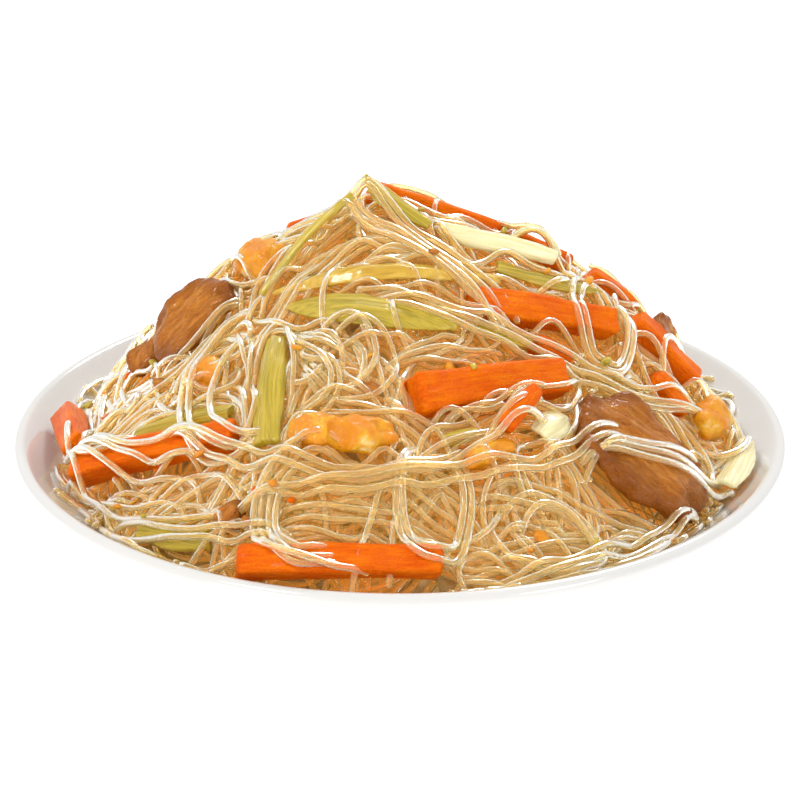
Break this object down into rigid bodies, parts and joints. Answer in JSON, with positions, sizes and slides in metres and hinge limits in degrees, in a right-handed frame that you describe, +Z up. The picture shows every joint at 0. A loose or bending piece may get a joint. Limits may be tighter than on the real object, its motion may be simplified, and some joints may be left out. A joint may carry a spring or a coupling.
{
  "type": "plate of stir-fried rice vermicelli",
  "caption": "Round white plate heaped with stir-fried rice vermicelli, with carrot sticks, celery and scallion strips, scrambled egg, onion and slices of roast pork.",
  "frame": {"origin": "middle of the plate's foot ring, on the surface it stands on", "axes": "+Z up out of the plate, -Y towards the side of the plate that faces the viewer, +X to the viewer's right"},
  "size_m": [0.204, 0.204, 0.0974],
  "materials": {
    "porcelain": "white opal glaze, glossy",
    "noodle": "cooked rice noodle, translucent and oily",
    "carrot": "cooked carrot, moist",
    "green": "cooked celery and scallion, ribbed and glossy",
    "onion": "cooked onion and scallion white, translucent",
    "egg": "scrambled egg, moist",
    "pork": "glazed roast pork"
  },
  "bodies": {
    "root": {"plate": "porcelain", "noodles": "noodle", "carrot_left_edge": "carrot", "carrot_left_long": "carrot", "carrot_front": "carrot", "carrot_centre": "carrot", "carrot_diagonal": "carrot", "carrot_right_upper": "carrot", "carrot_right_lower": "carrot", "carrot_top": "carrot", "carrot_top_left": "carrot", "carrot_right_back": "carrot", "carrot_right_side": "carrot", "carrot_right_far": "carrot", "carrot_back_low": "carrot", "carrot_back_left": "carrot", "carrot_back_high": "carrot", "celery_thread": "green", "scallion_top": "green", "scallion_bulb": "onion", "onion_loop": "onion", "celery_long": "green", "celery_leaf": "green", "celery_right": "green", "celery_upright": "green", "celery_left": "green", "celery_low_left": "green", "celery_mid_right": "green", "celery_under": "green", "celery_back_high": "green", "celery_back_low": "green", "onion_slice": "onion", "onion_right": "onion", "egg_top_left": "egg", "egg_left": "egg", "egg_centre": "egg", "egg_small_right": "egg", "egg_right": "egg", "egg_back": "egg", "egg_back_left": "egg", "pork_big": "pork", "pork_left": "pork", "pork_left_tip": "pork", "pork_low_left": "pork", "pork_right_back": "pork", "pork_back_right": "pork"}
  },
  "joints": []
}
